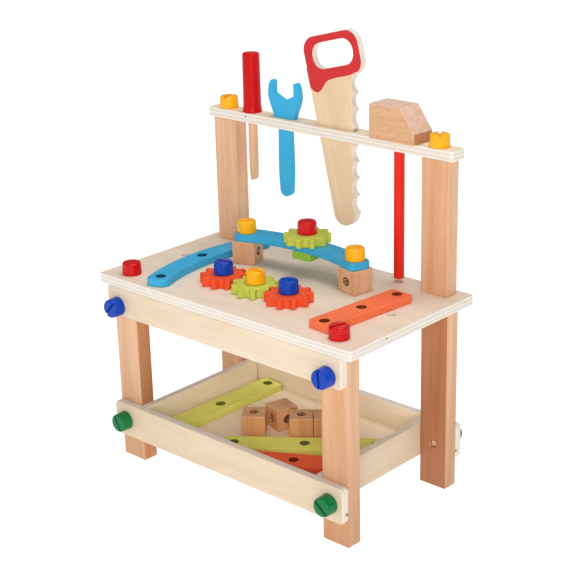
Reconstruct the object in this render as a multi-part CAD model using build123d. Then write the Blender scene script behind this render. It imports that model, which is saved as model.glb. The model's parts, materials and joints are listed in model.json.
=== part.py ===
"""Toy tool bench: wooden frame with tool shelf, tray, bolts, strips, gears and hanging tools.

Millimetres, +Z up, origin on the floor under the middle of the worktop,
+X to the bench's right, +Y to the back. Writes one STEP file per piece into parts/.
"""
from build123d import *
from math import asin, cos, degrees, hypot, pi, radians, sin
import os

os.makedirs("parts", exist_ok=True)

# ---- frame ----
TOP_L, TOP_T = 350.0, 10.5
TOP_Y0, TOP_Y1 = -98.3, 95.0
TOP_Z = 213.0
UNDER_Z = TOP_Z - TOP_T
TOP_CORNER_R = 3.5
EDGE_R = 1.0

LEG_W, LEG_D = 33.0, 18.0
LEG_X = 146.5
FRONT_FACE_Y = -89.3
FRONT_LEG_Y = FRONT_FACE_Y + LEG_D / 2
REAR_LEG_Y = 76.0
REAR_FACE_Y = REAR_LEG_Y + LEG_D / 2

BOARD_T = 9.0
BOARD_L = 2 * LEG_X + LEG_W
BOARD_CORNER_R = 4.0
APRON_H = 32.0
APRON_Z = UNDER_Z - APRON_H / 2

TRAY_Z0, TRAY_Z1 = 29.0, 67.0
TRAY_H = TRAY_Z1 - TRAY_Z0
SIDE_IN_X = LEG_X - LEG_W / 2 - BOARD_T
SIDE_GAP = 2.0
PANEL_T = 3.5
FLOOR_Z = 40.0
GROOVE_DEEP = 4.0
GROOVE_SPARE = 0.5
PIN_D, PIN_L, PIN_BOARD, PIN_Z = 6.0, 22.0, 5.0, 54.0

UPRIGHT_W, UPRIGHT_D = 32.5, 17.5
UPRIGHT_X, UPRIGHT_Y = 143.75, 77.25
SHELF_Z0, SHELF_Z1 = 353.5, 364.0
SHELF_T = SHELF_Z1 - SHELF_Z0
SHELF_L, SHELF_W = 334.0, 21.5
SHELF_X, SHELF_Y = -2.0, 78.75
SHELF_CORNER_R = 3.5
DOWEL_D, DOWEL_IN = 10.0, 26.0
DOWEL_X, DOWEL_Y = 145.0, 76.5

# ---- bolts (one size for the whole kit) ----
HEAD_R0, HEAD_R1, HEAD_H, HEAD_EDGE_R = 10.6, 10.0, 13.5, 1.8
SHANK_R, SHANK_L, SHANK_TIP = 4.7, 25.0, 0.8
SLOT_W, SLOT_DEEP = 2.6, 2.8
RUN_FIT = 0.05
BORE_R = SHANK_R + RUN_FIT
THROUGH_R = 5.2
APRON_BOLT_Z, TRAY_BOLT_Z = 181.5, 48.0
TOP_BOLT_X, TOP_BOLT_Y = 144.5, -78.3
SPARE_HOLE_X, SPARE_HOLE_Y = 144.5, 0.0

# ---- gears ----
TEETH = 10
GEAR_PITCH = 45.6
GEAR_TIP_R, GEAR_ROOT_R = 25.0, 19.6
TOOTH_TIP_W, TOOTH_ROOT_W = 4.4, 8.6
TOOTH_TIP_FILLET, TOOTH_ROOT_FILLET = 1.1, 1.0
GEAR_T = 10.0
GEAR_LIFT, HEAD_PLAY = 0.2, 0.3
GEAR_BORE_R = SHANK_R + 0.08
GEAR_ROW_X, GEAR_ROW_Y = -2.6, -36.5

# ---- strips, blocks and cubes ----
STRIP_T = 8.0
STRIP_W = 28.0
LONG_L, LONG_PITCH = 170.0, 75.0
MID_L, MID_PITCH = 118.0, 50.0
SHORT_L, SHORT_PITCH = 96.0, 37.5
STRIP_CORNER_R = 3.5
BOW_W, BOW_CHORD, BOW_RISE, BOW_END, BOW_CORNER_R = 25.0, 150.0, 12.8, 12.5, 8.0
CUBE = 25.5
CUBE_EDGE_R = 1.2
NUT_W, NUT_T = 24.0, 9.0
BRIDGE_X, BRIDGE_Y, BRIDGE_TURN = -75.5, 28.1, 0.5
BLOCK_TURN = (110.0, -8.6)
FLAT_X, FLAT_Y, FLAT_TURN = -97.8, -79.7, 91.5
ORANGE_X, ORANGE_Y, ORANGE_TURN = 122.3, -18.8, 84.9

# ---- hanging tools ----
TOOL_Y = SHELF_Y
DRIVER_X, DRIVER_SHAFT_R, DRIVER_HOLE_R = -110.5, 5.0, 5.5
DRIVER_H, DRIVER_TIP_Z, DRIVER_TIP_T, DRIVER_BEVEL = 64.5, 288.0, 2.0, 18.0
DRIVER_IN = 34.0
WRENCH_X, WRENCH_SLOT_W = -61.3, 19.0
TOOL_T, SLOT_T = 8.0, 9.0
SAW_X, SAW_LEAN = -12.8, 14.2
SAW_TEETH, SAW_TIP, SAW_TIP_STEP = 7, (59.2, 26.5), (-4.31, -17.53)
SAW_TOOTH_DEEP, SAW_TIP_R = 5.2, 1.0
SAW_SLOT_X0, SAW_SLOT_X1 = -13.4, 37.9
HAMMER_X, HAMMER_ROD_R, HAMMER_HOLE_R = 92.0, 5.5, 6.1
HAMMER_L, HAMMER_D, HAMMER_H = 57.0, 30.0, 35.5
HAMMER_HEAD_X, HAMMER_CHAMFER_X, HAMMER_NOSE_H = 93.2, 104.0, 11.0
HAMMER_ROD_Z, HAMMER_ROD_IN = 217.0, 22.0


def save(name, shape):
    export_step(shape, f"parts/{name}.step")


def block(x0, x1, y0, y1, z0, z1):
    """Plain box between six limits."""
    mid = ((x0 + x1) / 2, (y0 + y1) / 2, (z0 + z1) / 2)
    return Pos(*mid) * Box(x1 - x0, y1 - y0, z1 - z0)


def rod(x, y, z0, z1, r):
    """Upright cylinder between two heights."""
    return Pos(x, y, (z0 + z1) / 2) * Cylinder(r, z1 - z0)


def rod_y(x, z, y0, y1, r):
    """Cylinder along Y between two depths."""
    return Pos(x, (y0 + y1) / 2, z) * Rot(90, 0, 0) * Cylinder(r, y1 - y0)


def slab(length, width, thick, corner, edge=EDGE_R):
    """Flat board on Z = 0 with rounded corners and broken edges."""
    body = extrude(RectangleRounded(length, width, corner), thick)
    rims = body.edges().filter_by(lambda e: abs(e.center().Z - thick / 2) > thick / 2 - 0.01)
    return fillet(rims, edge)


def beam(width, depth, z0, z1, edge=EDGE_R):
    """Upright post centred on the origin with broken edges."""
    body = Pos(0, 0, (z0 + z1) / 2) * Box(width, depth, z1 - z0)
    return fillet(body.edges(), edge)


# ---- frame pieces ----
def worktop():
    body = slab(TOP_L, TOP_Y1 - TOP_Y0, TOP_T, TOP_CORNER_R)
    body = Pos(0, (TOP_Y0 + TOP_Y1) / 2, UNDER_Z) * body
    z0, z1 = UNDER_Z - 1, TOP_Z + 1
    for side in (-1, 1):
        body -= rod(side * TOP_BOLT_X, TOP_BOLT_Y, z0, z1, BORE_R)
        body -= rod(side * SPARE_HOLE_X, SPARE_HOLE_Y, z0, z1, BORE_R)
        body -= rod(side * DOWEL_X, DOWEL_Y, z0, z1, DOWEL_D / 2)
    for x in gear_xs():
        body -= rod(x, GEAR_ROW_Y, z0, z1, BORE_R)
    return body


def cross_board(height, z_mid, y0, bolt_z):
    """Board across the bench, standing on edge, its near face at y0."""
    body = slab(BOARD_L, height, BOARD_T, BOARD_CORNER_R)
    body = Pos(0, y0 + BOARD_T, z_mid) * Rot(90, 0, 0) * body
    for side in (-1, 1):
        body -= rod_y(side * LEG_X, bolt_z, y0 - 1, y0 + BOARD_T + 1, BORE_R)
    return body


def front_apron():
    return cross_board(APRON_H, APRON_Z, FRONT_FACE_Y - BOARD_T, APRON_BOLT_Z)


def tray_long_board(front):
    """Front or back tray board with the groove for the floor panel and the pin holes."""
    y0 = FRONT_FACE_Y - BOARD_T if front else REAR_FACE_Y
    body = cross_board(TRAY_H, (TRAY_Z0 + TRAY_Z1) / 2, y0, TRAY_BOLT_Z)
    if front:
        groove = (FRONT_FACE_Y - GROOVE_DEEP, FRONT_FACE_Y + 1)
        pins = (FRONT_FACE_Y - PIN_BOARD, FRONT_FACE_Y + 1)
    else:
        groove = (REAR_FACE_Y - 1, REAR_FACE_Y + GROOVE_DEEP)
        pins = (REAR_FACE_Y - 1, REAR_FACE_Y + PIN_BOARD)
    reach = BOARD_L / 2 + 1
    body -= block(-reach, reach, *groove, FLOOR_Z - PANEL_T, FLOOR_Z)
    for side in (-1, 1):
        body -= rod_y(side * (SIDE_IN_X + BOARD_T / 2), PIN_Z, *pins, PIN_D / 2)
    return body


def pin_ys():
    """Y limits of the front and rear tray pins."""
    front = FRONT_FACE_Y - PIN_BOARD
    rear = REAR_FACE_Y + PIN_BOARD
    return ((front, front + PIN_L), (rear - PIN_L, rear))


def tray_side_board(side):
    x0 = SIDE_IN_X
    y0, y1 = FRONT_FACE_Y, REAR_FACE_Y - SIDE_GAP
    body = block(x0, x0 + BOARD_T, y0, y1, TRAY_Z0 + 1, TRAY_Z1)
    body = fillet(body.edges().filter_by(Axis.Y), EDGE_R)
    body -= block(x0 - 1, x0 + GROOVE_DEEP, y0 - 1, y1 + 1, FLOOR_Z - PANEL_T, FLOOR_Z)
    for pin in pin_ys():
        body -= rod_y(x0 + BOARD_T / 2, PIN_Z, *pin, PIN_D / 2)
    return body if side > 0 else mirror(body, Plane.YZ)


def tray_bottom():
    x = SIDE_IN_X + GROOVE_DEEP - GROOVE_SPARE
    y0 = FRONT_FACE_Y - GROOVE_DEEP + GROOVE_SPARE
    y1 = REAR_FACE_Y + GROOVE_DEEP - GROOVE_SPARE
    return block(-x, x, y0, y1, FLOOR_Z - PANEL_T, FLOOR_Z)


def tray_pins():
    x = SIDE_IN_X + BOARD_T / 2
    pins = [rod_y(side * x, PIN_Z, *ys, PIN_D / 2) for side in (-1, 1) for ys in pin_ys()]
    return Compound(children=pins)


def front_leg(side):
    body = Pos(side * LEG_X, FRONT_LEG_Y, 0) * beam(LEG_W, LEG_D, 0, UNDER_Z)
    for z in (APRON_BOLT_Z, TRAY_BOLT_Z):
        body -= rod_y(side * LEG_X, z, FRONT_FACE_Y - 1, FRONT_FACE_Y + LEG_D + 1, BORE_R)
    return body - rod(side * TOP_BOLT_X, TOP_BOLT_Y, UNDER_Z - 16, UNDER_Z + 1, BORE_R)


def rear_leg(side):
    body = Pos(side * LEG_X, REAR_LEG_Y, 0) * beam(LEG_W, LEG_D, 0, UNDER_Z)
    body -= rod_y(side * LEG_X, TRAY_BOLT_Z, REAR_FACE_Y - LEG_D - 1, REAR_FACE_Y + 1, BORE_R)
    return body - rod(side * DOWEL_X, DOWEL_Y, UNDER_Z - DOWEL_IN, UNDER_Z + 1, DOWEL_D / 2)


def shelf_bolt_x(side):
    return SHELF_X + side * UPRIGHT_X


def upright(side):
    body = Pos(side * UPRIGHT_X, UPRIGHT_Y, 0) * beam(UPRIGHT_W, UPRIGHT_D, TOP_Z, SHELF_Z0)
    body -= rod(shelf_bolt_x(side), SHELF_Y, SHELF_Z0 - 16, SHELF_Z0 + 1, BORE_R)
    return body - rod(side * DOWEL_X, DOWEL_Y, TOP_Z - 1, TOP_Z + DOWEL_IN, DOWEL_D / 2)


def upright_dowels():
    z0, z1 = UNDER_Z - DOWEL_IN, TOP_Z + DOWEL_IN
    return Compound(children=[rod(s * DOWEL_X, DOWEL_Y, z0, z1, DOWEL_D / 2) for s in (-1, 1)])


def tool_shelf():
    body = Pos(SHELF_X, SHELF_Y, SHELF_Z0) * slab(SHELF_L, SHELF_W, SHELF_T, SHELF_CORNER_R)
    z0, z1 = SHELF_Z0 - 1, SHELF_Z1 + 1
    for side in (-1, 1):
        body -= rod(shelf_bolt_x(side), SHELF_Y, z0, z1, BORE_R)
    body -= rod(DRIVER_X, TOOL_Y, z0, z1, DRIVER_HOLE_R)
    body -= rod(HAMMER_X, TOOL_Y, z0, z1, HAMMER_HOLE_R)
    y0, y1 = TOOL_Y - SLOT_T / 2, TOOL_Y + SLOT_T / 2
    body -= block(WRENCH_X - WRENCH_SLOT_W / 2, WRENCH_X + WRENCH_SLOT_W / 2, y0, y1, z0, z1)
    return body - block(SAW_SLOT_X0, SAW_SLOT_X1, y0, y1, z0, z1)


# ---- bolt ----
def bolt():
    """Slotted bolt standing on Z = 0 under its head, shank pointing down, slot along X."""
    head = Cone(HEAD_R0, HEAD_R1, HEAD_H, align=(Align.CENTER, Align.CENTER, Align.MIN))
    head = fillet(head.edges().sort_by(Axis.Z)[-1], HEAD_EDGE_R)
    shank = rod(0, 0, -SHANK_L, 0, SHANK_R)
    shank = chamfer(shank.edges().sort_by(Axis.Z)[0], SHANK_TIP)
    reach = HEAD_R0 + 1
    slot = block(-reach, reach, -SLOT_W / 2, SLOT_W / 2, HEAD_H - SLOT_DEEP, HEAD_H + 1)
    return head + shank - slot


def bolt_down(x, y, z, turn):
    return Pos(x, y, z) * Rot(0, 0, turn) * bolt()


def bolt_front(x, y, z, turn):
    return Pos(x, y, z) * Rot(90, 0, 0) * Rot(0, 0, turn) * bolt()


def bolt_back(x, y, z, turn):
    return Pos(x, y, z) * Rot(-90, 0, 0) * Rot(0, 0, turn) * bolt()


# ---- gear ----
def gear_xs():
    return [GEAR_ROW_X + k * GEAR_PITCH for k in (-1, 0, 1)]


def gear():
    """Ten-tooth wooden gear on Z = 0 with a tooth on +X."""
    disc = Circle(GEAR_ROOT_R)
    root_x = GEAR_ROOT_R - 1
    tooth = make_face(Polyline((root_x, -TOOTH_ROOT_W / 2), (GEAR_TIP_R, -TOOTH_TIP_W / 2),
                               (GEAR_TIP_R, TOOTH_TIP_W / 2), (root_x, TOOTH_ROOT_W / 2),
                               close=True))
    for k in range(TEETH):
        disc += Rot(0, 0, 360 / TEETH * k) * tooth
    corners = disc.vertices()
    tips = [v for v in corners if hypot(v.X, v.Y) > GEAR_TIP_R - 0.1]
    disc = fillet(tips, TOOTH_TIP_FILLET)
    roots = [v for v in disc.vertices() if hypot(v.X, v.Y) < GEAR_ROOT_R + 0.1]
    disc = fillet(roots, TOOTH_ROOT_FILLET)
    body = extrude(disc, GEAR_T - GEAR_LIFT)
    return body - Cylinder(GEAR_BORE_R, 3 * GEAR_T)


# ---- strips ----
def strip(length, pitch):
    """Straight three-hole strip along X on Z = 0."""
    body = slab(length, STRIP_W, STRIP_T, STRIP_CORNER_R, EDGE_R)
    for k in (-1, 0, 1):
        body -= rod(k * pitch, 0, -1, STRIP_T + 1, THROUGH_R)
    return body


def bow_strip():
    """Curved three-hole strip on Z = 0, first hole at the origin, bulging to +Y."""
    half = BOW_CHORD / 2
    radius = (half * half + BOW_RISE * BOW_RISE) / (2 * BOW_RISE)
    centre_y = BOW_RISE - radius
    spread = degrees(asin(half / radius)) + degrees(BOW_END / radius)
    outer, inner = radius + BOW_W / 2, radius - BOW_W / 2
    ends = [(r, 90 + s * spread) for r in (outer, inner) for s in (-1, 1)]
    right_out, left_out, right_in, left_in = [polar(half, centre_y, r, a) for r, a in ends]
    line = ThreePointArc(left_out, (half, centre_y + outer), right_out)
    line += Line(right_out, right_in)
    line += ThreePointArc(right_in, (half, centre_y + inner), left_in)
    line += Line(left_in, left_out)
    face = make_face(line)
    face = fillet(face.vertices(), BOW_CORNER_R)
    body = extrude(face, STRIP_T)
    rims = body.edges().filter_by(lambda e: abs(e.center().Z - STRIP_T / 2) > STRIP_T / 2 - 0.01)
    body = fillet(rims, EDGE_R)
    for x, y in ((0, 0), (half, BOW_RISE), (BOW_CHORD, 0)):
        body -= rod(x, y, -1, STRIP_T + 1, THROUGH_R)
    return body


def polar(cx, cy, r, angle):
    return (cx + r * cos(radians(angle)), cy + r * sin(radians(angle)))


def turned(x, y, u, v, turn):
    """Point (u, v) of a frame set at (x, y) and turned about Z."""
    a = radians(turn)
    return (x + u * cos(a) - v * sin(a), y + u * sin(a) + v * cos(a))


# ---- cubes ----
def cube():
    """Beech cube on Z = 0, bored right through along Z and along Y."""
    body = Pos(0, 0, CUBE / 2) * Box(CUBE, CUBE, CUBE)
    body = fillet(body.edges(), CUBE_EDGE_R)
    body -= rod(0, 0, -1, CUBE + 1, BORE_R)
    return body - rod_y(0, CUBE / 2, -CUBE, CUBE, BORE_R)


def nut():
    body = slab(NUT_W, NUT_W, NUT_T, 2.0, 0.8)
    return body - Cylinder(BORE_R, 4 * NUT_T)


# ---- tools ----
def driver_handle():
    """Red handle, flared where it rests on the shelf, drilled for the shaft."""
    prof = Polyline((0, 0), (10.5, 0), (10.5, 2.0), (9.7, 8.0), (9.3, DRIVER_H - 1.5),
                    (8.1, DRIVER_H), (0, DRIVER_H), close=True)
    body = revolve(Plane.XZ * make_face(prof), Axis.Z)
    body -= rod(0, 0, -1, DRIVER_IN, DRIVER_SHAFT_R)
    return Pos(DRIVER_X, TOOL_Y, SHELF_Z1) * body


def driver_shaft():
    """Beech shaft with a chisel tip whose edge runs front to back."""
    body = rod(DRIVER_X, TOOL_Y, DRIVER_TIP_Z, SHELF_Z1 + DRIVER_IN, DRIVER_SHAFT_R)
    r, flat = DRIVER_SHAFT_R + 1, DRIVER_TIP_T / 2
    rise = DRIVER_BEVEL * (r - flat) / (DRIVER_SHAFT_R - flat)
    wedge = make_face(Polyline((flat, 0), (r, 0), (r, rise), close=True))
    cut = Pos(DRIVER_X, TOOL_Y, DRIVER_TIP_Z) * extrude(Plane.XZ * wedge, 2 * r, both=True)
    return body - cut - mirror(cut, Plane.YZ.offset(DRIVER_X))


def wrench():
    """Open-jaw wrench hanging by its shoulders, flat faces front and back."""
    right = [(14.2, 1.0), (17.6, 10.0), (21.4, 20.0), (21.6, 30.0), (18.0, 39.5)]
    left = [(-x, z) for x, z in reversed(right)]
    grip = [(-7.7, 0.0), (-7.9, -12.0), (-8.8, -58.0), (-7.6, -78.0)]
    other = [(-x, z) for x, z in reversed(grip)]
    line = Spline(*right)
    line += Polyline((18.0, 39.5), (14.5, 38.8), (14.5, 25.5), (0, 18.8),
                     (-14.5, 25.5), (-14.5, 38.8), (-18.0, 39.5))
    line += Spline(*left)
    line += Polyline((-14.2, 1.0), (-14.2, 0.0), (-7.7, 0.0))
    line += Spline(*grip)
    line += ThreePointArc((-7.6, -78.0), (0, -86.5), (7.6, -78.0))
    line += Spline(*other)
    line += Polyline((7.7, 0.0), (14.2, 0.0), (14.2, 1.0))
    face = Plane.XZ * make_face(line)
    body = Pos(WRENCH_X, TOOL_Y, SHELF_Z1) * extrude(face, TOOL_T / 2, both=True)
    rims = body.edges().filter_by(lambda e: abs(abs(e.center().Y - TOOL_Y) - TOOL_T / 2) < 0.01)
    return chamfer(rims, 0.6)


def saw_outline():
    """Saw face in its own axes: back edge near X = 0, handle above, scooped teeth on +X."""
    (x, z), (dx, dz) = SAW_TIP, SAW_TIP_STEP
    tips = [(x + dx * k, z + dz * k) for k in range(SAW_TEETH + 1)]
    run = hypot(dx, dz)
    inward = (SAW_TOOTH_DEEP * dz / run, -SAW_TOOTH_DEEP * dx / run)
    end = tips[-1]
    line = Polyline((0, 60), (0, 0), (-2.4, -95))
    line += ThreePointArc((-2.4, -95), (1.6, -105.2), (10.5, -109))
    line += ThreePointArc((10.5, -109), (22.3, -105.6), end)
    for lower, upper in zip(tips[:0:-1], tips[-2::-1]):
        mid = [(u + v) / 2 + w for u, v, w in zip(lower, upper, inward)]
        line += ThreePointArc(lower, tuple(mid), upper)
    line += ThreePointArc(tips[0], (55.4, 35.5), (60, 42))
    line += Polyline((60, 42), (60, 60), (0, 60))
    face = make_face(line)
    sharp = [v for v in face.vertices() if any(hypot(v.X - a, v.Y - b) < 0.01 for a, b in tips)]
    return fillet(sharp, SAW_TIP_R)


def saw():
    """Ply saw, blade and handle in one piece, leaning back in its slot."""
    blade = saw_outline()
    grip = Pos(38.2, 67.4) * RectangleRounded(74.6, 46.0, 15.0)
    hole = Pos(39.6, 69.2) * RectangleRounded(54.6, 27.0, 12.8)
    face = Plane.XZ * (blade + grip - hole)
    body = extrude(face, TOOL_T / 2, both=True)
    rims = body.edges().filter_by(lambda e: abs(abs(e.center().Y) - TOOL_T / 2) < 0.01)
    body = chamfer(rims, 0.4)
    return Pos(SAW_X, TOOL_Y, SHELF_Z1) * Rot(0, -SAW_LEAN, 0) * body


def hammer_head():
    """Beech block with a sloping nose on the right, drilled below for its rod."""
    x0 = HAMMER_HEAD_X - HAMMER_L / 2
    x1 = HAMMER_HEAD_X + HAMMER_L / 2
    z1 = SHELF_Z1 + HAMMER_H
    prof = Polyline((x0, SHELF_Z1), (x1, SHELF_Z1), (x1, SHELF_Z1 + HAMMER_NOSE_H),
                    (HAMMER_CHAMFER_X, z1), (x0, z1), close=True)
    body = Pos(0, TOOL_Y, 0) * extrude(Plane.XZ * make_face(prof), HAMMER_D / 2, both=True)
    body = fillet(body.edges(), EDGE_R)
    return body - rod(HAMMER_X, TOOL_Y, SHELF_Z1 - 1, SHELF_Z1 + HAMMER_ROD_IN, HAMMER_ROD_R)


def hammer_rod():
    body = rod(HAMMER_X, TOOL_Y, HAMMER_ROD_Z, SHELF_Z1 + HAMMER_ROD_IN, HAMMER_ROD_R)
    return fillet(body.edges().sort_by(Axis.Z)[0], 1.0)


# ---- write the frame ----
save("worktop", worktop())
save("front_apron", front_apron())
save("tray_front_board", tray_long_board(True))
save("tray_back_board", tray_long_board(False))
save("tray_bottom", tray_bottom())
save("tray_pins", tray_pins())
save("upright_dowels", upright_dowels())
save("tool_shelf", tool_shelf())
for word, side in (("left", -1), ("right", 1)):
    save(f"tray_{word}_board", tray_side_board(side))
    save(f"front_{word}_leg", front_leg(side))
    save(f"rear_{word}_leg", rear_leg(side))
    save(f"{word}_upright", upright(side))

# ---- frame bolts ----
front_y = FRONT_FACE_Y - BOARD_T
back_y = REAR_FACE_Y + BOARD_T
for word, side, apron_turn, tray_turn in (("left", -1, 49, -62), ("right", 1, -84, -39)):
    save(f"apron_{word}_bolt", bolt_front(side * LEG_X, front_y, APRON_BOLT_Z, apron_turn))
    save(f"tray_front_{word}_bolt", bolt_front(side * LEG_X, front_y, TRAY_BOLT_Z, tray_turn))
    save(f"tray_back_{word}_bolt", bolt_back(side * LEG_X, back_y, TRAY_BOLT_Z, 25))
for word, side, top_turn, shelf_turn in (("left", -1, 57, 105), ("right", 1, 75, 126)):
    save(f"worktop_{word}_bolt", bolt_down(side * TOP_BOLT_X, TOP_BOLT_Y, TOP_Z, top_turn))
    save(f"shelf_{word}_bolt", bolt_down(shelf_bolt_x(side), SHELF_Y, SHELF_Z1, shelf_turn))

# ---- gear row ----
for k, (x, bolt_turn) in enumerate(zip(gear_xs(), (10, 0, 27))):
    turn = 0 if k % 2 == 0 else 180 / TEETH
    save(f"row_gear_{k + 1}", Pos(x, GEAR_ROW_Y, TOP_Z + GEAR_LIFT) * Rot(0, 0, turn) * gear())
    save(f"row_gear_bolt_{k + 1}", bolt_down(x, GEAR_ROW_Y, TOP_Z + GEAR_T + HEAD_PLAY, bolt_turn))

# ---- bridge ----
strip_z = TOP_Z + CUBE
gear_z = strip_z + STRIP_T
save("bridge_strip", Pos(BRIDGE_X, BRIDGE_Y, strip_z) * Rot(0, 0, BRIDGE_TURN) * bow_strip())
for word, u, turn, bolt_turn in (("left", 0, BLOCK_TURN[0], 50), ("right", BOW_CHORD, BLOCK_TURN[1], 60)):
    x, y = turned(BRIDGE_X, BRIDGE_Y, u, 0, BRIDGE_TURN)
    save(f"bridge_{word}_block", Pos(x, y, TOP_Z) * Rot(0, 0, turn) * cube())
    save(f"bridge_{word}_bolt", bolt_down(x, y, gear_z, bolt_turn))
x, y = turned(BRIDGE_X, BRIDGE_Y, BOW_CHORD / 2, BOW_RISE, BRIDGE_TURN)
save("bridge_nut", Pos(x, y, strip_z - NUT_T) * Rot(0, 0, 5) * nut())
save("bridge_gear", Pos(x, y, gear_z + GEAR_LIFT) * gear())
save("bridge_gear_bolt", bolt_down(x, y, gear_z + GEAR_T + HEAD_PLAY, 60))

# ---- loose strips and cubes ----
save("blue_strip", Pos(FLAT_X, FLAT_Y, TOP_Z) * Rot(0, 0, FLAT_TURN) * bow_strip())
orange = Rot(0, 0, ORANGE_TURN) * strip(MID_L, MID_PITCH)
save("orange_strip", Pos(ORANGE_X, ORANGE_Y, TOP_Z) * orange)
save("green_strip_1", Pos(-96.5, -2.6, FLOOR_Z) * Rot(0, 0, 88.2) * strip(LONG_L, LONG_PITCH))
save("green_strip_2", Pos(41.8, -16.5, FLOOR_Z) * Rot(0, 0, 37) * strip(LONG_L, LONG_PITCH))
save("short_orange_strip", Pos(58.5, -52.3, FLOOR_Z) * Rot(0, 0, 30) * strip(SHORT_L, SHORT_PITCH))
cubes = ((-26.4, -21.1, 129.0, 0), (-16.4, 12.0, -18.0, 90), (17.0, 7.0, 130.0, 0), (36.8, 23.6, 130.0, 0))
for k, (x, y, turn, roll) in enumerate(cubes):
    rolled = Pos(0, 0, CUBE / 2) * Rot(0, roll, 0) * Pos(0, 0, -CUBE / 2)
    save(f"cube_{k + 1}", Pos(x, y, FLOOR_Z) * Rot(0, 0, turn) * rolled * cube())

# ---- tools ----
save("screwdriver_handle", driver_handle())
save("screwdriver_shaft", driver_shaft())
save("wrench", wrench())
save("saw", saw())
save("hammer_head", hammer_head())
save("hammer_rod", hammer_rod())
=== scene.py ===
"""Looks of the toy tool bench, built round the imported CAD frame. Metres, +Z up, +Y to the back."""
import json
import math

import bmesh
import bpy
from mathutils import Matrix, Vector


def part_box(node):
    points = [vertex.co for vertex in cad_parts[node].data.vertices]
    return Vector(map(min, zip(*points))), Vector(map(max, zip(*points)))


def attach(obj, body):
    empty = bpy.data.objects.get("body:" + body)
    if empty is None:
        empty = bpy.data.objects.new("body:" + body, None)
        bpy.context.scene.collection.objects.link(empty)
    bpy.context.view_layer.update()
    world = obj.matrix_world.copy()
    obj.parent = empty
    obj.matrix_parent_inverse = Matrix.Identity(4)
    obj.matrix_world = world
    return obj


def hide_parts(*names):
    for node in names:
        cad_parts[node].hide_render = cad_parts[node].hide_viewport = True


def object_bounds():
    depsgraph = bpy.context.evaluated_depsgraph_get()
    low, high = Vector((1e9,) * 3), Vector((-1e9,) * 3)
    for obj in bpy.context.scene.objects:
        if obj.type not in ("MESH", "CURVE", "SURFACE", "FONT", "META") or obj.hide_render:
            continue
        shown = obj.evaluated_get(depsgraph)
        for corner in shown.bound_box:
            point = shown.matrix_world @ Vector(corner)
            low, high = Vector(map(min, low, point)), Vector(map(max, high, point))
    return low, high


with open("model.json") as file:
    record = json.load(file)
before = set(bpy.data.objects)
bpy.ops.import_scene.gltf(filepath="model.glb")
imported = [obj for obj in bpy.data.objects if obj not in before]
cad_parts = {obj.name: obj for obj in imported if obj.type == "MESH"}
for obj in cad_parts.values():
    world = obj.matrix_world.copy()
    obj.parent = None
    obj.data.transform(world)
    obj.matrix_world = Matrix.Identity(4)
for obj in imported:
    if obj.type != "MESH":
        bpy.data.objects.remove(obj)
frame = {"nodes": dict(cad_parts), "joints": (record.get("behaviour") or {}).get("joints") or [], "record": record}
CAD_LOW, CAD_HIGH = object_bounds()

MM = 0.001
JOINT = {j["child"]: j for j in frame["joints"]}
SHELF_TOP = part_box("tool_shelf")[1].z

# ---- camera: product view from the front right, in metres and degrees ----
CAMERA_AT = (0.93874, -1.00612, 0.71108)
CAMERA_AZIMUTH, CAMERA_DOWN, CAMERA_ROLL = 42.76, 20.12, -1.43
LENS_MM, SENSOR_MM, CAMERA_REACH = 88.15, 36.0, 200.0

# ---- studio: a glowing pale floor, an even sky and three round lights ----
FLOOR_HALF, FLOOR_DROP, FLOOR_GREY, FLOOR_GLOW = 60.0, 0.0002, 0.3, 0.93
SKY_STRENGTH = 0.25
LIGHTS = (  # name, place, size, power in watts
    ("key", (1.6, -1.7, 0.95), 1.4, 33.0),
    ("fill", (-0.9, -2.3, 0.9), 1.8, 8.0),
    ("top", (0.1, 0.3, 2.4), 1.6, 30.0),
)

# ---- bolt, all in millimetres ----
HEAD_R, HEAD_H = 10.6, 13.5
CROWN_R, CROWN_DROP, RIM_R = 8.0, 0.25, 1.9
SLOT_W, SLOT_DEEP, SLOT_LIP, SLOT_CORNER = 2.6, 2.8, 0.45, 0.3
THREAD_CREST, THREAD_ROOT, THREAD_PITCH, SHANK_L = 4.65, 3.9, 3.2, 25.0
RING_POINTS, ROWS_PER_PITCH = 64, 8
CRISP_BOLT = 34.0  # degrees at which a bolt's edge is shaded sharp

# ---- rounding of the CAD shapes: widths in millimetres, angles in degrees ----
BOARD_EDGE, BLOCK_EDGE, GEAR_EDGE, BLADE_EDGE, HEAD_EDGE = 0.5, 0.4, 0.7, 0.3, 0.6
WELD, FLAT, CRISP = 0.002, 0.6, 40.0
BORE_WALL = (-40.0, -3.0)  # signed angles between the narrow faces of a round hole

# ---- saw paint: lower edge of the red area, across and along the blade in millimetres ----
SAW_BACK_X, SAW_LEAN = -12.8, 14.2
SAW_PAINT_EDGE = ((0.0, 41.0), (3.0, 36.5), (8.2, 33.3), (13.5, 34.2), (19.0, 38.4), (25.0, 42.8),
                  (34.0, 44.4), (57.5, 45.3), (66.0, 47.0))


def srgb(r, g, b):
    """Linear colour from 0 to 255 screen values."""
    def one(v):
        v /= 255
        return v / 12.92 if v <= 0.04045 else ((v + 0.055) / 1.055) ** 2.4
    return (one(r), one(g), one(b), 1.0)


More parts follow.
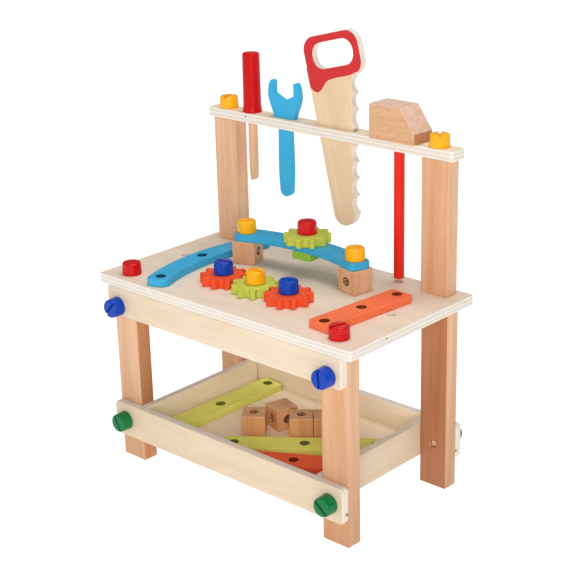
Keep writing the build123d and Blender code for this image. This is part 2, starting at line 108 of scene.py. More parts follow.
WHITE = (1.0, 1.0, 1.0, 1.0)
BIRCH_LIGHT, BIRCH_MID, BIRCH_LINE = srgb(238, 221, 197), srgb(228, 207, 178), srgb(204, 177, 146)
PLY_PALE, PLY_CROSS, PLY_GLUE = srgb(234, 226, 215), srgb(220, 209, 194), srgb(170, 152, 134)
KNOT = srgb(84, 52, 34)
BEECH_LIGHT, BEECH_MID, BEECH_FLECK = srgb(228, 184, 148), srgb(212, 163, 122), srgb(172, 118, 80)
SKY, ORANGE, LIME = srgb(54, 170, 216), srgb(240, 82, 34), srgb(196, 204, 80)
CORAL, PALE_LIME, TRAY_ORANGE = srgb(248, 118, 70), srgb(232, 236, 116), srgb(255, 100, 52)
RED, ROYAL, YELLOW, TOOL_RED = srgb(206, 8, 18), srgb(0, 62, 172), srgb(250, 178, 16), srgb(198, 4, 8)
BOLT_GREEN, NUT_GREEN, ROD_RED = srgb(6, 116, 62), srgb(140, 196, 66), srgb(222, 36, 16)

# ---- colour multipliers for the woods; many of them are painted light and shade ----
TOP_TINT, FRONT_TINT = (0.97, 0.97, 1.04, 1.0), (0.93, 0.91, 0.9, 1.0)
# painted light: the inner multiplier makes the tray's inside boards paler, standing in for light in the shaded
# tray
TRAY_TINT, INNER_PAINTED_LIGHT = (0.88, 0.83, 0.79, 1.0), (1.12, 1.15, 1.18, 1.0)
BLADE_TINT = (0.92, 0.82, 0.7, 1.0)
# painted light and shade for beech faces that point one way: the warm and deep ones darken faces left in shade,
# the rose one tints faces lit from the right
WARM_SHADE, DEEP_SHADE, ROSE_LIGHT = (0.93, 0.86, 0.8, 1.0), (0.74, 0.56, 0.44, 1.0), (1.0, 1.0, 1.04, 1.0)
# painted shade: the red-brown one darkens a shaded face further; the foot one darkens posts towards the floor
RED_BROWN_SHADE, FOOT_SHADE = (0.62, 0.42, 0.32, 1.0), (0.8, 0.72, 0.66, 1.0)
# painted light and shade: the tan one darkens cube sides, the pink one paints a lit top, the head one darkens the
# hammer's front and back
TAN_SIDE_SHADE, PINK_TOP_LIGHT, HEAD_TAN_SHADE = (0.98, 0.82, 0.62, 1.0), (1.0, 1.12, 1.42, 1.0), (0.92, 0.88, 0.8, 1.0)
# painted shade: dark brown on the walls of round holes in blocks and cubes
BORE_SHADE = (0.4, 0.3, 0.24, 1.0)
BORE_SHADE_SHARE = 0.26  # painted shade: share of a strip's colour kept on the darkened walls of its holes


def darker(colour, share):
    """colour with its three channels multiplied by share."""
    return tuple(c * share for c in colour[:3]) + (1.0,)


# ---- shader building ----
class Shader:
    """One material with a Principled shader and short helpers for its nodes."""

    def __init__(self, name, roughness=0.5, specular=0.5):
        self.material = bpy.data.materials.new(name)
        self.material.use_nodes = True
        self.tree = self.material.node_tree
        self.tree.nodes.clear()
        self.surface = self.tree.nodes.new("ShaderNodeBsdfPrincipled")
        output = self.tree.nodes.new("ShaderNodeOutputMaterial")
        self.tree.links.new(self.surface.outputs["BSDF"], output.inputs["Surface"])
        self.surface.inputs["Roughness"].default_value = roughness
        self.surface.inputs["Specular IOR Level"].default_value = specular
        self.coord = self.tree.nodes.new("ShaderNodeTexCoord")

    def feed(self, socket, value):
        if isinstance(value, bpy.types.NodeSocket):
            self.tree.links.new(value, socket)
        elif value is not None:
            socket.default_value = value

    def math(self, operation, *values):
        node = self.tree.nodes.new("ShaderNodeMath")
        node.operation = operation
        for socket, value in zip(node.inputs, values):
            self.feed(socket, value)
        return node.outputs[0]

    def vector(self, operation, *values):
        node = self.tree.nodes.new("ShaderNodeVectorMath")
        node.operation = operation
        for socket, value in zip(node.inputs, values):
            self.feed(socket, value)
        return node.outputs["Value" if operation in ("DOT_PRODUCT", "LENGTH") else "Vector"]

    def mix(self, share, first, second, blend="MIX"):
        node = self.tree.nodes.new("ShaderNodeMix")
        node.data_type = "RGBA"
        node.blend_type = blend
        self.feed(node.inputs["Factor"], share)
        self.feed(node.inputs[6], first)
        self.feed(node.inputs[7], second)
        return node.outputs[2]

    def step(self, value, low, high):
        """0 below low, 1 above high, smooth between."""
        node = self.tree.nodes.new("ShaderNodeMapRange")
        node.interpolation_type = "SMOOTHSTEP"
        self.feed(node.inputs["Value"], value)
        node.inputs["From Min"].default_value = low
        node.inputs["From Max"].default_value = high
        return node.outputs["Result"]

    def noise(self, vector, scale=1.0, detail=2.0, roughness=0.5, distortion=0.0):
        node = self.tree.nodes.new("ShaderNodeTexNoise")
        self.feed(node.inputs["Vector"], vector)
        node.inputs["Scale"].default_value = scale
        node.inputs["Detail"].default_value = detail
        node.inputs["Roughness"].default_value = roughness
        node.inputs["Distortion"].default_value = distortion
        return node.outputs["Fac"]

    def cells(self, vector):
        """Distance to the nearest of the scattered points, and that point's random colour."""
        node = self.tree.nodes.new("ShaderNodeTexVoronoi")
        self.feed(node.inputs["Vector"], vector)
        node.inputs["Scale"].default_value = 1.0
        return node.outputs["Distance"], node.outputs["Color"]

    def part(self, vector, letter):
        node = self.tree.nodes.new("ShaderNodeSeparateXYZ")
        self.feed(node.inputs[0], vector)
        return node.outputs[letter]

    def millimetres(self, turn=0.0, offset=(0.0, 0.0, 0.0)):
        """Object coordinates in millimetres, turned back about Z, in degrees."""
        node = self.tree.nodes.new("ShaderNodeMapping")
        self.feed(node.inputs["Vector"], self.coord.outputs["Object"])
        node.inputs["Rotation"].default_value = (0.0, 0.0, math.radians(-turn))
        node.inputs["Scale"].default_value = (1000.0, 1000.0, 1000.0)
        node.inputs["Location"].default_value = offset
        return node.outputs["Vector"]

    def stretched(self, vector, grain, across, along):
        """vector scaled so that a feature is across wide and along long, in millimetres."""
        scale = Vector((1 / across,) * 3)
        scale["XYZ".index(grain)] = 1 / along
        return self.vector("MULTIPLY", vector, tuple(scale))

    def facing(self, letter):
        """How squarely the surface faces along one axis, 0 to 1."""
        return self.math("ABSOLUTE", self.part(self.coord.outputs["Normal"], letter))

    def bump(self, height, strength, distance_mm):
        node = self.tree.nodes.new("ShaderNodeBump")
        node.inputs["Strength"].default_value = strength
        node.inputs["Distance"].default_value = distance_mm * MM
        self.feed(node.inputs["Height"], height)
        self.feed(self.surface.inputs["Normal"], node.outputs["Normal"])

    def colour(self, value):
        self.feed(self.surface.inputs["Base Color"], value)

    def roughness(self, value):
        self.feed(self.surface.inputs["Roughness"], value)

    def span(self, value, low, high):
        """value from 0..1 spread over low..high."""
        return self.math("MULTIPLY_ADD", value, high - low, low)


def streaks(shader, place, grain, width=0.9, length=60.0, detail=3.0):
    """Long fine grain lines along the grain axis, 0 to 1."""
    return shader.noise(shader.stretched(place, grain, width, length), 1.0, detail, 0.6, 0.15)


def flecks(shader, place, grain, width, length, share):
    """Short dark dashes along the grain: 1 on a dash, 0 between."""
    distance, colour = shader.cells(shader.stretched(place, grain, width, length))
    dash = shader.math("SUBTRACT", 1.0, shader.step(distance, 0.16, 0.3))
    chosen = shader.math("GREATER_THAN", shader.part(colour, "X"), 1.0 - share)
    return shader.math("MULTIPLY", dash, chosen)


def spot(shader, place, centre, size):
    """1 inside a small soft-edged ellipsoid, such as a pin knot."""
    away = shader.vector("SUBTRACT", place, centre)
    away = shader.vector("DIVIDE", away, size)
    return shader.math("SUBTRACT", 1.0, shader.step(shader.vector("LENGTH", away), 0.55, 1.0))


def birch_face(shader, place, grain):
    """Pale rotary-cut veneer: soft cloudy bands and faint long lines. Gives colour and grain height."""
    cloud = shader.noise(shader.stretched(place, grain, 22.0, 120.0), 1.0, 3.0, 0.55, 0.6)
    fine = streaks(shader, place, grain, 0.8, 45.0)
    band = streaks(shader, place, grain, 5.0, 150.0, 2.0)
    tone = shader.math("ADD", shader.math("MULTIPLY", cloud, 0.55), shader.math("MULTIPLY", fine, 0.25))
    tone = shader.math("ADD", tone, shader.math("MULTIPLY", band, 0.2))
    colour = shader.mix(shader.step(tone, 0.34, 0.66), BIRCH_LIGHT, BIRCH_MID)
    line = shader.math("MULTIPLY", shader.step(fine, 0.6, 0.78), 0.28)
    return shader.mix(line, colour, BIRCH_LINE), fine


def ply_edge(shader, place, axis, low, high, layers, grain):
    """Layered edge of a ply board: pale and darker layers in turn, with broken glue lines between.

    Gives colour and where the glue shows.
    """
    wander = shader.noise(shader.stretched(place, grain, 6.0, 40.0), 1.0, 1.0)
    depth = shader.math("MULTIPLY_ADD", shader.part(place, axis), layers / (high - low),
                        -low * layers / (high - low))
    depth = shader.math("ADD", depth, shader.span(wander, -0.06, 0.06))
    within = shader.math("FRACT", depth)
    cross = shader.math("GREATER_THAN", shader.math("MODULO", depth, 2.0), 1.0)
    grit = shader.noise(shader.stretched(place, axis, 0.35, 0.9), 1.0, 2.0)
    colour = shader.mix(shader.math("MULTIPLY", cross, shader.span(grit, 0.5, 1.1)), PLY_PALE, PLY_CROSS)
    from_middle = shader.math("ABSOLUTE", shader.math("SUBTRACT", within, 0.5))
    glue = shader.step(from_middle, 0.42, 0.5)
    patchy = shader.noise(shader.stretched(place, axis, 9.0, 2.0), 1.0, 2.0)
    glue = shader.math("MULTIPLY", glue, shader.span(patchy, 0.25, 1.0))
    return shader.mix(glue, colour, PLY_GLUE), glue


def ply(node, axis, grain, knots=(), tint_and_painted_light=WHITE, layers=5):
    """Material of one flat ply board whose thickness runs along axis; the colour multiplier acts on its faces
    only, and for the tray's inside boards it is painted light.
    """
    shader = Shader(f"ply_{node}", 0.5, 0.45)
    low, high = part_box(node)
    place = shader.millimetres()
    face, fine = birch_face(shader, place, grain)
    k = "XYZ".index(axis)
    edge, glue = ply_edge(shader, place, axis, low[k] / MM, high[k] / MM, layers, grain)
    on_edge = shader.math("SUBTRACT", 1.0, shader.step(shader.facing(axis), 0.45, 0.8))
    colour = shader.mix(on_edge, shader.mix(1.0, face, tint_and_painted_light, "MULTIPLY"), edge)
    for centre, size in knots:
        colour = shader.mix(spot(shader, place, centre, size), colour, KNOT)
    shader.colour(colour)
    shader.roughness(shader.span(fine, 0.42, 0.6))
    groove = shader.math("MULTIPLY", shader.math("MULTIPLY", glue, on_edge), 1.5)
    shader.bump(shader.math("SUBTRACT", fine, groove), 0.35, 0.05)
    return shader.material


def beech(name, grain, offset=0.0, face_light_and_shade=(WHITE, WHITE, WHITE), dash=(5.8, 0.45, 0.4), foot=None):
    """Steamed beech: warm bands, fine lines and short dark flecks along the grain.

    The three face multipliers act on the faces across X, Y and Z and are painted light and shade; foot darkens the
    end near the floor, a painted shade.
    dash is the length in millimetres, share and depth of the dark flecks.
    """
    shader = Shader(name, 0.5, 0.35)
    place = shader.millimetres(0.0, (offset, offset * 0.7, offset * 0.4))
    band = shader.noise(shader.stretched(place, grain, 9.0, 190.0), 1.0, 2.0, 0.5, 0.4)
    fine = streaks(shader, place, grain, 0.7, 34.0)
    tone = shader.math("ADD", shader.math("MULTIPLY", band, 0.7), shader.math("MULTIPLY", fine, 0.3))
    colour = shader.mix(shader.step(tone, 0.32, 0.68), BEECH_LIGHT, BEECH_MID)
    length, share, depth = dash
    fleck = flecks(shader, place, grain, 0.8, length, share)
    colour = shader.mix(shader.math("MULTIPLY", fleck, depth), colour, BEECH_FLECK)
    end = shader.step(shader.facing(grain), 0.75, 0.95)
    rings = shader.noise(shader.stretched(place, grain, 2.2, 2.2), 1.0, 2.0, 0.6, 1.5)
    end_colour = shader.mix(shader.step(rings, 0.35, 0.7), BEECH_MID, BEECH_FLECK)
    colour = shader.mix(shader.math("MULTIPLY", end, 0.45), colour, end_colour)
    # painted light and shade: each face's colour is multiplied by the one for the way it faces
    tint_and_painted_light = shader.mix(shader.step(shader.facing("X"), 0.6, 0.9), face_light_and_shade[1], face_light_and_shade[0])
    tint_and_painted_light = shader.mix(shader.step(shader.facing("Z"), 0.3, 0.5), tint_and_painted_light, face_light_and_shade[2])
    # painted shade: darker towards the floor, over the lowest 0.17 m
    if foot:
        height = shader.part(shader.coord.outputs["Object"], "Z")
        low = shader.math("SUBTRACT", 1.0, shader.step(height, 0.0, 0.17))
        tint_and_painted_light = shader.mix(low, tint_and_painted_light, shader.mix(1.0, tint_and_painted_light, foot, "MULTIPLY"))
    shader.colour(shader.mix(1.0, colour, tint_and_painted_light, "MULTIPLY"))
    shader.roughness(shader.span(fine, 0.42, 0.6))
    shader.bump(shader.math("SUBTRACT", fine, fleck), 0.25, 0.06)
    return shader.material


def paint(name, colour, roughness, turn=0.0, grain="X", relief=0.25, specular=0.3):
    """Sprayed colour over wood: the grain shows as faint relief and slightly uneven cover."""
    shader = Shader(name, roughness, specular)
    place = shader.millimetres(turn)
    fine = streaks(shader, place, grain, 0.9, 28.0)
    cloud = shader.noise(shader.stretched(place, grain, 9.0, 30.0), 1.0, 2.0)
    dark = darker(colour, 1.0 - 0.5 * relief)
    tone = shader.math("ADD", shader.math("MULTIPLY", fine, 0.6), shader.math("MULTIPLY", cloud, 0.4))
    shader.colour(shader.mix(shader.step(tone, 0.3, 0.7), dark, colour))
    peel = shader.noise(place, 1.6, 1.0)
    shader.roughness(shader.span(fine, roughness - 0.05, roughness + 0.07))
    shader.bump(shader.math("ADD", fine, shader.math("MULTIPLY", peel, 0.5)), relief, 0.05)
    return shader.material


def turned_paint(name, colour):
    """Glossy colour on a turned bolt head, in the bolt's own axes: faint lathe rings."""
    shader = Shader(name, 0.2, 0.24)
    place = shader.millimetres()
    height = shader.part(place, "Z")
    ring = shader.math("SINE", shader.math("MULTIPLY", height, 5.2))
    peel = shader.noise(place, 0.9, 2.0)
    shader.colour(shader.mix(shader.step(peel, 0.35, 0.65), darker(colour, 0.92), colour))
    shader.roughness(shader.span(peel, 0.15, 0.24))
    shader.bump(shader.math("ADD", peel, shader.math("MULTIPLY", ring, 0.1)), 0.12, 0.06)
    return shader.material


def saw_finish():
    """Bare ply blade with a red handle area on both faces; the edges stay bare."""
    shader = Shader("saw_finish", 0.5, 0.45)
    place = shader.millimetres()
    lean = math.radians(SAW_LEAN)
    from_shelf = shader.vector("SUBTRACT", place, (SAW_BACK_X, 0.0, SHELF_TOP / MM))
    across = shader.vector("DOT_PRODUCT", from_shelf, (math.cos(lean), 0.0, math.sin(lean)))
    along = shader.vector("DOT_PRODUCT", from_shelf, (-math.sin(lean), 0.0, math.cos(lean)))
    leaned = shader.tree.nodes.new("ShaderNodeCombineXYZ")
    shader.feed(leaned.inputs["X"], across)
    shader.feed(leaned.inputs["Y"], shader.part(place, "Y"))
    shader.feed(leaned.inputs["Z"], along)
    face, fine = birch_face(shader, leaned.outputs[0], "Z")
    low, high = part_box("saw")
    edge, _ = ply_edge(shader, leaned.outputs[0], "Y", low.y / MM, high.y / MM, 5, "Z")
    facing = shader.facing("Y")
    face = shader.mix(1.0, face, BLADE_TINT, "MULTIPLY")
    bare = shader.mix(shader.math("SUBTRACT", 1.0, shader.step(facing, 0.45, 0.8)), face, edge)
    curve = shader.tree.nodes.new("ShaderNodeFloatCurve")
    shader.feed(curve.inputs["Value"], shader.math("DIVIDE", across, 100.0))
    line = curve.mapping.curves[0]
    points = [(x / 100, z / 100) for x, z in SAW_PAINT_EDGE]
    points.append((1.0, points[-1][1]))
    line.points[0].location = points[0]
    line.points[1].location = points[-1]
    for point in points[1:-1]:
        line.points.new(*point)
    curve.mapping.update()
    above = shader.math("SUBTRACT", shader.math("DIVIDE", along, 100.0), curve.outputs["Value"])
    painted = shader.math("MULTIPLY", shader.step(above, -0.002, 0.002), shader.step(facing, 0.6, 0.8))
    cover = shader.mix(shader.step(fine, 0.3, 0.7), darker(RED, 0.86), RED)
    shader.colour(shader.mix(painted, bare, cover))
    shader.roughness(shader.span(painted, 0.55, 0.42))
    shader.bump(shader.math("MULTIPLY_ADD", painted, 0.8, shader.math("MULTIPLY", fine, 0.6)), 0.3, 0.05)
    return shader.material


# ---- meshes ----
def long_direction(node):
    """Angle in degrees from +X of a node's longest way, seen from above."""
    points = [v.co.xy for v in frame["nodes"][node].data.vertices]
    middle = sum(points, Vector((0, 0))) / len(points)
    xx = sum((p.x - middle.x) ** 2 for p in points)
    yy = sum((p.y - middle.y) ** 2 for p in points)
    xy = sum((p.x - middle.x) * (p.y - middle.y) for p in points)
    return math.degrees(0.5 * math.atan2(2 * xy, xx - yy))


def soften(node, width_mm, material, body, steps=2, corner=32.0, bore_shade=None):
    """Adds a piece with the node's own shape and finely rounded edges, which stands for it.

    Edges sharper than corner degrees are rounded. bore is a second material, painted shade for round holes' walls.
    """
    mesh = frame["nodes"][node].data.copy()
    mesh.name = node + "_soft"
    if "custom_normal" in mesh.attributes:
        mesh.attributes.remove(mesh.attributes["custom_normal"])
    work = bmesh.new()
    work.from_mesh(mesh)
    bmesh.ops.remove_doubles(work, verts=work.verts, dist=WELD * MM)
    bmesh.ops.dissolve_limit(work, angle_limit=math.radians(FLAT), verts=work.verts, edges=work.edges)
    sharp = [e for e in work.edges if e.is_manifold and e.calc_face_angle(0.0) > math.radians(corner)]
    bmesh.ops.bevel(work, geom=sharp, offset=width_mm * MM, offset_type="OFFSET", segments=steps,
                    profile=0.5, affect="EDGES", clamp_overlap=True)
    for face in work.faces:
        face.smooth = True
        face.material_index = 0
    for edge in work.edges:
        edge.smooth = not edge.is_manifold or edge.calc_face_angle(0.0) < math.radians(CRISP)
        # painted shade: faces of round holes' walls take the second material
        if not (bore_shade and edge.is_manifold):
            continue
        if BORE_WALL[0] < math.degrees(edge.calc_face_angle_signed(0.0)) < BORE_WALL[1]:
            for face in edge.link_faces:
                face.material_index = 1
    mesh.materials.clear()
    work.to_mesh(mesh)
    work.free()
    mesh.materials.append(material)
    if bore_shade:
        mesh.materials.append(bore_shade)
    piece = bpy.data.objects.new(node + "_piece", mesh)
    bpy.context.scene.collection.objects.link(piece)
    tidy_shading(piece)
    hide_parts(node)
    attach(piece, body)


def tidy_shading(piece):
    """Keeps large flat faces looking flat beside their rounded edges."""
    even = piece.modifiers.new("even", "WEIGHTED_NORMAL")
    even.keep_sharp = True
    even.weight = 50


def bolt_profile():
    """(radius, height, thread share) down the bolt, from the crown to the tip, in millimetres."""
    rows = [(r, HEAD_H - CROWN_DROP * (r / CROWN_R) ** 2, 0.0) for r in (1.2, 3.0, 5.0, 6.8, CROWN_R)]
    for k in range(1, 7):
        a = math.radians(15 * k)
        drop = CROWN_DROP + RIM_R * (1 - math.cos(a))
        rows.append((CROWN_R + RIM_R * math.sin(a), HEAD_H - drop, 0.0))
    # the head's slight taper, its rounded foot and the root of the shank
    rows += [(HEAD_R - 0.45, 8.0, 0.0), (HEAD_R - 0.28, 4.5, 0.0), (HEAD_R - 0.12, 1.2, 0.0),
             (HEAD_R - 0.2, 0.5, 0.0), (HEAD_R - 0.75, 0.0, 0.0),
             (THREAD_CREST + 0.2, 0.0, 0.0), (THREAD_CREST - 0.1, -0.5, 0.0)]
    count = int((SHANK_L - 2.4) / THREAD_PITCH * ROWS_PER_PITCH)
    for k in range(count + 1):
        z = -1.0 - k * THREAD_PITCH / ROWS_PER_PITCH
        rows.append((THREAD_ROOT, z, min(1.0, (count - k) / ROWS_PER_PITCH, 0.4 + k / ROWS_PER_PITCH)))
    last = rows[-1][1]
    rows += [(THREAD_ROOT - 0.25, last - 0.4, 0.0), (THREAD_ROOT - 1.1, 0.1 - SHANK_L, 0.0),
             (1.4, -SHANK_L, 0.0)]
    return rows


def turned_mesh(name, rows):
    """Closed mesh of revolution with a helical thread where the profile asks for one."""
    work = bmesh.new()
    rings = []
    for radius, height, share in rows:
        ring = []
        for k in range(RING_POINTS):
            turn = k / RING_POINTS
            phase = height / THREAD_PITCH - turn
            ridge = (0.5 - 0.5 * math.cos(2 * math.pi * phase)) ** 0.8
            r = radius + share * ridge * (THREAD_CREST - THREAD_ROOT)
            a = 2 * math.pi * turn
            ring.append(work.verts.new((r * math.cos(a) * MM, r * math.sin(a) * MM, height * MM)))
        rings.append(ring)
    for upper, lower in zip(rings, rings[1:]):
        for k in range(RING_POINTS):
            j = (k + 1) % RING_POINTS
            work.faces.new((upper[k], lower[k], lower[j], upper[j]))
    work.faces.new(rings[0])
    work.faces.new(list(reversed(rings[-1])))
    bmesh.ops.recalc_face_normals(work, faces=work.faces)
    mesh = bpy.data.meshes.new(name)
    work.to_mesh(mesh)
    work.free()
    return mesh


def slot_cutter():
    """Long bar with rounded bottom corners and flared lips, which cuts the screwdriver slot."""
    half, floor, top = SLOT_W / 2, HEAD_H - SLOT_DEEP, HEAD_H - 0.12
    side = [(half - SLOT_CORNER, floor), (half, floor + SLOT_CORNER), (half, top - SLOT_LIP)]
    side += [(half + SLOT_LIP * (1 - math.cos(a)), top - SLOT_LIP * (1 - math.sin(a)))
             for a in (math.radians(30), math.radians(60), math.radians(90))]
    side.append((half + SLOT_LIP + 0.6, top + 2.0))
    outline = [(-y, z) for y, z in reversed(side)] + side
    work = bmesh.new()
    reach = HEAD_R + 3
    ends = [[work.verts.new((x * MM, y * MM, z * MM)) for y, z in outline] for x in (-reach, reach)]
    count = len(outline)
    for k in range(count):
        j = (k + 1) % count
        work.faces.new((ends[0][k], ends[0][j], ends[1][j], ends[1][k]))
    work.faces.new(ends[0])
    work.faces.new(ends[1])
    bmesh.ops.recalc_face_normals(work, faces=work.faces)
    mesh = bpy.data.meshes.new("slot_cutter")
    work.to_mesh(mesh)
    work.free()
    return mesh


def bolt_mesh():
    """The turned bolt with its slot cut, shaded smooth except at crisp edges."""
    body = bpy.data.objects.new("bolt_blank", turned_mesh("bolt_blank", bolt_profile()))
    cutter = bpy.data.objects.new("slot_cutter", slot_cutter())
    for part in (body, cutter):
        bpy.context.scene.collection.objects.link(part)
    cut = body.modifiers.new("slot", "BOOLEAN")
    cut.operation = "DIFFERENCE"
    cut.solver = "EXACT"
    cut.object = cutter
    bpy.context.view_layer.update()
    mesh = bpy.data.meshes.new_from_object(body.evaluated_get(bpy.context.evaluated_depsgraph_get()))
    mesh.name = "bolt"
    for part in (body, cutter):
        bpy.data.objects.remove(part)
    work = bmesh.new()
    work.from_mesh(mesh)
    for face in work.faces:
        face.smooth = True
        face.material_index = 0 if face.calc_center_median().z > -0.05 * MM else 1
    for edge in work.edges:
        edge.smooth = edge.is_manifold and edge.calc_face_angle(0.0) < math.radians(CRISP_BOLT)
    work.to_mesh(mesh)
    work.free()
    return mesh


def slot_direction(node, place, axis):
    """Direction of the CAD bolt's slot, from the points on the slot's floor."""
    floor = (HEAD_H - SLOT_DEEP) * MM
    found = []
    for vertex in frame["nodes"][node].data.vertices:
        off = vertex.co - place
        if abs(off.dot(axis) - floor) < 0.05 * MM:
            found.append(off - axis * off.dot(axis))
    longest = max(found, key=lambda v: v.length)
    same_end = [v for v in found if v.dot(longest) > 0]
    return sum(same_end, Vector()).normalized()


def add_bolt(node, template, head, shank):
    """Adds the turned bolt at the node's joint, with its slot turned as the CAD bolt's is."""
    joint = JOINT[node]
    axis = Vector(joint["axis"]).normalized()
    place = Vector(joint["pos_m"])
    across = slot_direction(node, place, axis)
    side = axis.cross(across).normalized()
    mesh = template.copy()
    mesh.name = node
    mesh.materials.append(head)
    mesh.materials.append(shank)
    piece = bpy.data.objects.new(node + "_piece", mesh)
    bpy.context.scene.collection.objects.link(piece)
    turn = Matrix((across, side, axis)).transposed().to_4x4()
    piece.matrix_world = Matrix.Translation(place) @ turn
    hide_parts(node)
    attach(piece, node)


def dress(node, material):
    """Gives a CAD node that keeps its own mesh its finished material."""
    shown = frame["nodes"][node]
    if not shown.material_slots:
        shown.data.materials.append(material)
    for holder in shown.material_slots:
        holder.material = material


# ---- frame boards ----
# a pin knot on the worktop's right edge and one on the shelf's front edge: centre and half sizes
WORKTOP_KNOT = ((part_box("worktop")[1].x / MM, -46.1, 210.1), (1.2, 1.4, 1.0))
SHELF_KNOT = ((-111.0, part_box("tool_shelf")[0].y / MM, 360.5), (2.0, 1.2, 0.8))
BOARDS = (  # node, thickness axis, grain axis, knots, face colour multiplier, painted light for the tray's inside boards
    ("worktop", "Z", "X", (WORKTOP_KNOT,), TOP_TINT),
    ("tool_shelf", "Z", "X", (SHELF_KNOT,), WHITE),
    ("front_apron", "Y", "X", (), FRONT_TINT),
    ("tray_front_board", "Y", "X", (), TRAY_TINT),
    # painted light: the tray's back and left boards are made paler inside the shaded tray
    ("tray_back_board", "Y", "X", (), INNER_PAINTED_LIGHT),
    ("tray_left_board", "X", "Y", (), INNER_PAINTED_LIGHT),
    ("tray_right_board", "X", "Y", (), TRAY_TINT),
)
for node, axis, grain, knots, tint_and_painted_light in BOARDS:
    soften(node, BOARD_EDGE, ply(node, axis, grain, knots, tint_and_painted_light), "frame")
# painted light: the tray's bottom is made paler inside the shaded tray
dress("tray_bottom", ply("tray_bottom", "Z", "X", (), INNER_PAINTED_LIGHT, layers=3))

POSTS = (  # node, painted light and shade across X, painted light and shade across Y
    ("front_left_leg", DEEP_SHADE, WHITE),
    ("front_right_leg", ROSE_LIGHT, WARM_SHADE),
    ("rear_left_leg", ROSE_LIGHT, WARM_SHADE),
    ("rear_right_leg", ROSE_LIGHT, RED_BROWN_SHADE),
    ("left_upright", ROSE_LIGHT, WHITE),
    ("right_upright", ROSE_LIGHT, WARM_SHADE),
)
# painted light and shade on each post's faces, and painted shade towards the floor
for k, (node, painted_light_x, painted_light_y) in enumerate(POSTS):
    finish = beech(f"beech_{node}", "Z", 37.0 * k, (painted_light_x, painted_light_y, WHITE), foot=FOOT_SHADE)
    soften(node, BOARD_EDGE, finish, "frame")
for node in ("tray_pins", "upright_dowels"):
    dress(node, beech(f"beech_{node}", "Y" if node == "tray_pins" else "Z"))

# ---- bolts ----
BARE = beech("beech_shank", "Z", dash=(3.6, 0.45, 0.4))
HEADS = {
    "red_paint": turned_paint("bolt_red", RED),
    "royal_blue_paint": turned_paint("bolt_blue", ROYAL),
    "yellow_paint": turned_paint("bolt_yellow", YELLOW),
    "dark_green_paint": turned_paint("bolt_green", BOLT_GREEN),
}
SLOTS = {row["node"]: row["material_slot"] for row in frame["record"]["subparts"]}
template = bolt_mesh()
for node in sorted(n for n in frame["nodes"] if "_bolt" in n):
    add_bolt(node, template, HEADS[SLOTS[node]], BARE)

# ---- gears, strips, blocks ----
GEARS = {"row_gear_1": ORANGE, "row_gear_2": LIME, "row_gear_3": ORANGE, "bridge_gear": LIME}
for node, colour in GEARS.items():
    cover = paint(f"paint_{node}", colour, 0.5, 20.0)
    soften(node, GEAR_EDGE, cover, node, steps=3, corner=50.0)

STRIPS = {"blue_strip": SKY, "bridge_strip": SKY, "orange_strip": CORAL, "green_strip_1": PALE_LIME,
          "green_strip_2": PALE_LIME, "short_orange_strip": TRAY_ORANGE}
for node, colour in STRIPS.items():
    body = "bridge" if node == "bridge_strip" else node
    cover = paint(f"paint_{node}", colour, 0.46, long_direction(node))
    # painted shade: the walls of each strip's holes take a darkened copy of its colour
    shaded_wall = paint(f"bore_{node}", darker(colour, BORE_SHADE_SHARE), 0.7, specular=0.1)
    soften(node, BOARD_EDGE, cover, body, bore_shade=shaded_wall)
# painted shade: dark brown beech for the walls of the blocks' and cubes' holes
BORE_SHADE_BEECH = beech("beech_bore_shade", "Z", face_light_and_shade=(BORE_SHADE,) * 3)
soften("bridge_nut", BOARD_EDGE, paint("paint_nut", NUT_GREEN, 0.48), "bridge")
for k, node in enumerate(("bridge_left_block", "bridge_right_block")):
    # painted light and shade on the blocks' faces
    finish = beech(f"beech_{node}", "Z", 60.0 + 21.0 * k, (ROSE_LIGHT, WARM_SHADE, WHITE))
    soften(node, BLOCK_EDGE, finish, "bridge", bore_shade=BORE_SHADE_BEECH)
for k in range(1, 5):
    node = f"cube_{k}"
    # painted shade: the cubes' sides darker and tanner than their tops
    finish = beech(f"beech_{node}", "Z", 33.0 * k, (TAN_SIDE_SHADE, TAN_SIDE_SHADE, WHITE))
    soften(node, BLOCK_EDGE, finish, node, bore_shade=BORE_SHADE_BEECH)

# ---- tools ----
DRIVER_RED = paint("paint_driver", TOOL_RED, 0.34, grain="Z", relief=0.08, specular=0.15)
WRENCH_BLUE = paint("paint_wrench", SKY, 0.42, grain="Z", relief=0.1, specular=0.2)
HAMMER_RED = paint("paint_rod", ROD_RED, 0.38, grain="Z", relief=0.08, specular=0.2)
# painted light and shade: darker ends, a shaded front and back and a pale pinkish top
HAMMER_WOOD = beech("beech_hammer", "X", 5.0, (DEEP_SHADE, HEAD_TAN_SHADE, PINK_TOP_LIGHT), (7.0, 0.75, 0.8))
soften("screwdriver_handle", BOARD_EDGE, DRIVER_RED, "screwdriver")
soften("screwdriver_shaft", BLADE_EDGE, beech("beech_driver", "Z", 11.0), "screwdriver")
soften("wrench", BOARD_EDGE, WRENCH_BLUE, "wrench")
soften("saw", BLADE_EDGE, saw_finish(), "saw")
soften("hammer_head", HEAD_EDGE, HAMMER_WOOD, "hammer")
soften("hammer_rod", BLOCK_EDGE, HAMMER_RED, "hammer")


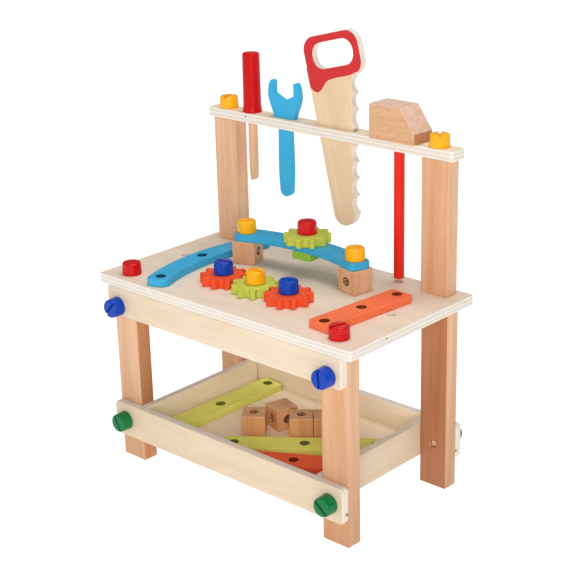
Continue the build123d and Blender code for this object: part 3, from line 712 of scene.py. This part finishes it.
# ---- stage ----
def add_floor():
    mesh = bpy.data.meshes.new("floor")
    corners = [(x * FLOOR_HALF, y * FLOOR_HALF, 0) for x, y in ((-1, -1), (1, -1), (1, 1), (-1, 1))]
    mesh.from_pydata(corners, [], [(0, 1, 2, 3)])
    floor = bpy.data.objects.new("floor", mesh)
    bpy.context.scene.collection.objects.link(floor)
    shader = Shader("floor_white", 0.9, 0.1)
    shader.colour((FLOOR_GREY, FLOOR_GREY, FLOOR_GREY, 1.0))
    shader.surface.inputs["Emission Color"].default_value = WHITE
    shader.surface.inputs["Emission Strength"].default_value = FLOOR_GLOW
    mesh.materials.append(shader.material)
    floor.location.z = -FLOOR_DROP


def add_light(name, place, aim, size, power):
    light = bpy.data.lights.new(name, "AREA")
    light.shape = "DISK"
    light.size = size
    light.energy = power
    lamp = bpy.data.objects.new(name, light)
    lamp.location = place
    lamp.rotation_euler = (Vector(aim) - Vector(place)).to_track_quat("-Z", "Y").to_euler()
    bpy.context.scene.collection.objects.link(lamp)


def add_world():
    world = bpy.data.worlds.new("studio")
    world.use_nodes = True
    sky = world.node_tree.nodes["Background"]
    sky.inputs["Color"].default_value = WHITE
    sky.inputs["Strength"].default_value = SKY_STRENGTH
    bpy.context.scene.world = world


def add_camera():
    data = bpy.data.cameras.new("camera")
    data.lens = LENS_MM
    data.sensor_width = SENSOR_MM
    data.clip_end = CAMERA_REACH
    camera = bpy.data.objects.new("camera", data)
    turn = Matrix.Rotation(math.radians(CAMERA_AZIMUTH), 4, "Z")
    turn = turn @ Matrix.Rotation(math.radians(90.0 - CAMERA_DOWN), 4, "X")
    turn = turn @ Matrix.Rotation(math.radians(CAMERA_ROLL), 4, "Z")
    camera.matrix_world = Matrix.Translation(CAMERA_AT) @ turn
    bpy.context.scene.collection.objects.link(camera)
    bpy.context.scene.camera = camera


add_floor()
for name, place, size, power in LIGHTS:
    add_light(name, place, (CAD_LOW + CAD_HIGH) / 2, size, power)
add_world()
add_camera()
bpy.context.scene.view_settings.view_transform = "Standard"

bpy.context.view_layer.update()
